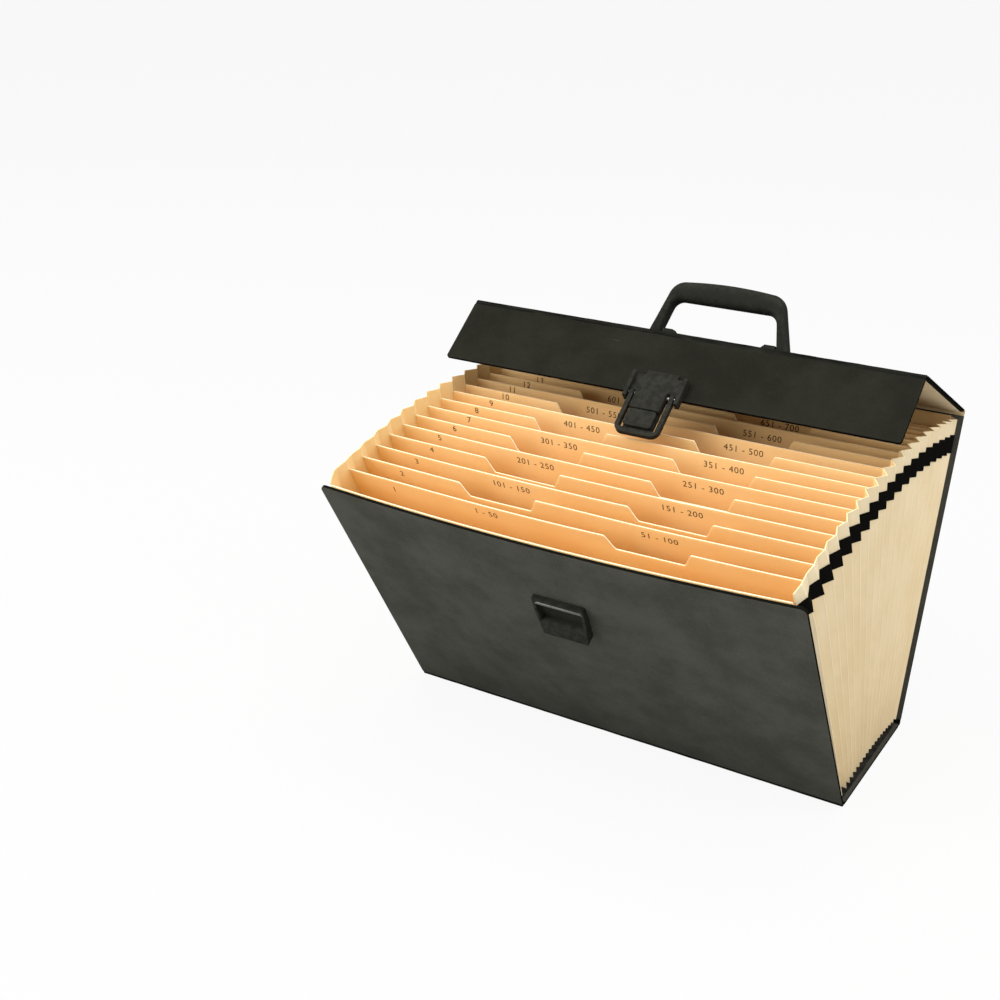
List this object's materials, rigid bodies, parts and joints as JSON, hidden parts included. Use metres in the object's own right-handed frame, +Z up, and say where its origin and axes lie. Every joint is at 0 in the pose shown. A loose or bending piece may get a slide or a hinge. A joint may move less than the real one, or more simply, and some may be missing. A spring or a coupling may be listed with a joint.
{
  "type": "portable file box",
  "caption": "Accordion file box standing open, with a fan of pleated pockets, a lid with a carrying handle and a front flap whose hasp meets a catch on the front board.",
  "frame": {"origin": "middle of the base's underside", "axes": "+X along the folds to the right, +Y to the rear, +Z up"},
  "size_m": [0.381, 0.3607, 0.3405],
  "materials": {
    "covered_board": "black leatherette cover with a fine grain",
    "fold_cloth": "black book cloth",
    "lining_black": "matt black paper",
    "leaf_buff": "smooth buff card",
    "pleat_cream": "matt cream kraft paper",
    "tape_black": "woven black tape",
    "moulded_black": "satin black plastic",
    "steel": "dulled steel"
  },
  "bodies": {
    "base": {"base_board": "covered_board", "base_lining": "lining_black", "front_bottom_fold": "fold_cloth", "back_bottom_fold": "fold_cloth", "pocket_floor": "pleat_cream", "right_gusset": "pleat_cream", "left_gusset": "pleat_cream", "right_tape": "tape_black", "left_tape": "tape_black"},
    "front_panel": {"front_board": "covered_board", "front_leaf": "leaf_buff", "catch": "moulded_black", "catch_keeper": "steel", "catch_rivets": "steel", "catch_backing_plate": "steel"},
    "leaf_01": {"leaf_01": "leaf_buff"},
    "leaf_02": {"leaf_02": "leaf_buff"},
    "leaf_03": {"leaf_03": "leaf_buff"},
    "leaf_04": {"leaf_04": "leaf_buff"},
    "leaf_05": {"leaf_05": "leaf_buff"},
    "leaf_06": {"leaf_06": "leaf_buff"},
    "leaf_07": {"leaf_07": "leaf_buff"},
    "leaf_08": {"leaf_08": "leaf_buff"},
    "leaf_09": {"leaf_09": "leaf_buff"},
    "leaf_10": {"leaf_10": "leaf_buff"},
    "leaf_11": {"leaf_11": "leaf_buff"},
    "leaf_12": {"leaf_12": "leaf_buff"},
    "leaf_13": {"leaf_13": "leaf_buff"},
    "leaf_14": {"leaf_14": "leaf_buff"},
    "leaf_15": {"leaf_15": "leaf_buff"},
    "leaf_16": {"leaf_16": "leaf_buff"},
    "leaf_17": {"leaf_17": "leaf_buff"},
    "leaf_18": {"leaf_18": "leaf_buff"},
    "back_panel": {"back_board": "covered_board", "back_leaf": "leaf_buff", "back_top_fold": "fold_cloth"},
    "lid": {"lid_board": "covered_board", "lid_lining": "pleat_cream", "lid_front_fold": "fold_cloth", "handle_bracket": "moulded_black", "bracket_rivets": "steel", "bracket_backing_plate": "steel"},
    "handle": {"handle": "moulded_black", "handle_pins": "steel"},
    "flap": {"flap_board": "covered_board", "flap_lining": "lining_black", "hasp_plate": "moulded_black", "hasp_rivets": "steel", "hasp_backing_plate": "steel", "hasp_pin": "steel"},
    "hasp": {"hasp_frame": "moulded_black", "hasp_tongue": "moulded_black", "button_spring": "steel"},
    "release_button": {"release_button": "moulded_black"}
  },
  "joints": [
    {"name": "fan_fold", "type": "hinge", "parent": "base", "child": "front_panel", "pos_m": [0, -0.0706, 0.0024], "axis": [-1, 0, 0], "range_deg": [0, 32], "deforming": ["right_gusset", "left_gusset", "right_tape", "left_tape"]},
    {"name": "leaf_01_fold", "type": "hinge", "parent": "base", "child": "leaf_01", "pos_m": [0, -0.06138, 0.0099], "axis": [-1, 0, 0], "range_deg": [0, 29.48]},
    {"name": "leaf_02_fold", "type": "hinge", "parent": "base", "child": "leaf_02", "pos_m": [0, -0.05416, 0.0099], "axis": [-1, 0, 0], "range_deg": [0, 26.96]},
    {"name": "leaf_03_fold", "type": "hinge", "parent": "base", "child": "leaf_03", "pos_m": [0, -0.04694, 0.0099], "axis": [-1, 0, 0], "range_deg": [0, 24.43]},
    {"name": "leaf_04_fold", "type": "hinge", "parent": "base", "child": "leaf_04", "pos_m": [0, -0.03972, 0.0099], "axis": [-1, 0, 0], "range_deg": [0, 21.9]},
    {"name": "leaf_05_fold", "type": "hinge", "parent": "base", "child": "leaf_05", "pos_m": [0, -0.0325, 0.0099], "axis": [-1, 0, 0], "range_deg": [0, 19.37]},
    {"name": "leaf_06_fold", "type": "hinge", "parent": "base", "child": "leaf_06", "pos_m": [0, -0.02527, 0.0099], "axis": [-1, 0, 0], "range_deg": [0, 16.83]},
    {"name": "leaf_07_fold", "type": "hinge", "parent": "base", "child": "leaf_07", "pos_m": [0, -0.01805, 0.0099], "axis": [-1, 0, 0], "range_deg": [0, 14.27]},
    {"name": "leaf_08_fold", "type": "hinge", "parent": "base", "child": "leaf_08", "pos_m": [0, -0.01083, 0.0099], "axis": [-1, 0, 0], "range_deg": [0, 11.68]},
    {"name": "leaf_09_fold", "type": "hinge", "parent": "base", "child": "leaf_09", "pos_m": [0, -0.00361, 0.0099], "axis": [-1, 0, 0], "range_deg": [0, 9.04]},
    {"name": "leaf_10_fold", "type": "hinge", "parent": "base", "child": "leaf_10", "pos_m": [0, 0.00361, 0.0099], "axis": [-1, 0, 0], "range_deg": [0, 6.36]},
    {"name": "leaf_11_fold", "type": "hinge", "parent": "base", "child": "leaf_11", "pos_m": [0, 0.01083, 0.0099], "axis": [-1, 0, 0], "range_deg": [0, 3.61]},
    {"name": "leaf_12_fold", "type": "hinge", "parent": "base", "child": "leaf_12", "pos_m": [0, 0.01805, 0.0099], "axis": [-1, 0, 0], "range_deg": [0, 0.796]},
    {"name": "leaf_13_fold", "type": "hinge", "parent": "base", "child": "leaf_13", "pos_m": [0, 0.02527, 0.0099], "axis": [1, 0, 0], "range_deg": [0, 2.1]},
    {"name": "leaf_14_fold", "type": "hinge", "parent": "base", "child": "leaf_14", "pos_m": [0, 0.0325, 0.0099], "axis": [1, 0, 0], "range_deg": [0, 5]},
    {"name": "leaf_15_fold", "type": "hinge", "parent": "base", "child": "leaf_15", "pos_m": [0, 0.03972, 0.0099], "axis": [1, 0, 0], "range_deg": [0, 7.86]},
    {"name": "leaf_16_fold", "type": "hinge", "parent": "base", "child": "leaf_16", "pos_m": [0, 0.04694, 0.0099], "axis": [1, 0, 0], "range_deg": [0, 10.59]},
    {"name": "leaf_17_fold", "type": "hinge", "parent": "base", "child": "leaf_17", "pos_m": [0, 0.05416, 0.0099], "axis": [1, 0, 0], "range_deg": [0, 13.03]},
    {"name": "leaf_18_fold", "type": "hinge", "parent": "base", "child": "leaf_18", "pos_m": [0, 0.06138, 0.0099], "axis": [1, 0, 0], "range_deg": [0, 14.95]},
    {"name": "back_fold", "type": "hinge", "parent": "base", "child": "back_panel", "pos_m": [0, 0.0706, 0.0024], "axis": [1, 0, 0], "range_deg": [0, 16.01]},
    {"name": "lid_swing", "type": "hinge", "parent": "back_panel", "child": "lid", "pos_m": [0, 0.14282, 0.25425], "axis": [-1, 0, 0], "range_deg": [0, 150]},
    {"name": "flap_fold", "type": "hinge", "parent": "lid", "child": "flap", "pos_m": [0, 0.00868, 0.3168], "axis": [-1, 0, 0], "range_deg": [0, 41.01]},
    {"name": "hasp_swing", "type": "hinge", "parent": "flap", "child": "hasp", "pos_m": [0, -0.04353, 0.28275], "axis": [-1, 0, 0], "range_deg": [0, 120]},
    {"name": "button_press", "type": "slide", "parent": "hasp", "child": "release_button", "axis": [0, 0.6293, -0.7771], "range_m": [0, 0.0016], "stiffness_N_per_m": 400, "deforming": ["button_spring"]},
    {"name": "handle_swing", "type": "hinge", "parent": "lid", "child": "handle", "pos_m": [0, 0.07897, 0.29716], "axis": [-1, 0, 0], "range_deg": [-80, 80]}
  ],
  "couplings": [
    {"joint": "leaf_01_fold", "follows": "fan_fold", "ratio": 0.92105},
    {"joint": "leaf_02_fold", "follows": "fan_fold", "ratio": 0.8421},
    {"joint": "leaf_03_fold", "follows": "fan_fold", "ratio": 0.76314},
    {"joint": "leaf_04_fold", "follows": "fan_fold", "ratio": 0.68413},
    {"joint": "leaf_05_fold", "follows": "fan_fold", "ratio": 0.60497},
    {"joint": "leaf_06_fold", "follows": "fan_fold", "ratio": 0.5255},
    {"joint": "leaf_07_fold", "follows": "fan_fold", "ratio": 0.44547},
    {"joint": "leaf_08_fold", "follows": "fan_fold", "ratio": 0.36455},
    {"joint": "leaf_09_fold", "follows": "fan_fold", "ratio": 0.28234},
    {"joint": "leaf_10_fold", "follows": "fan_fold", "ratio": 0.19844},
    {"joint": "leaf_11_fold", "follows": "fan_fold", "ratio": 0.11255},
    {"joint": "leaf_12_fold", "follows": "fan_fold", "ratio": 0.024571},
    {"joint": "leaf_13_fold", "follows": "fan_fold", "ratio": 0.065195},
    {"joint": "leaf_14_fold", "follows": "fan_fold", "ratio": 0.1558},
    {"joint": "leaf_15_fold", "follows": "fan_fold", "ratio": 0.24538},
    {"joint": "leaf_16_fold", "follows": "fan_fold", "ratio": 0.33073},
    {"joint": "leaf_17_fold", "follows": "fan_fold", "ratio": 0.40691},
    {"joint": "leaf_18_fold", "follows": "fan_fold", "ratio": 0.46671},
    {"joint": "back_fold", "follows": "fan_fold", "ratio": 0.5},
    {"joint": "flap_fold", "follows": "fan_fold", "ratio": 1.2812}
  ]
}
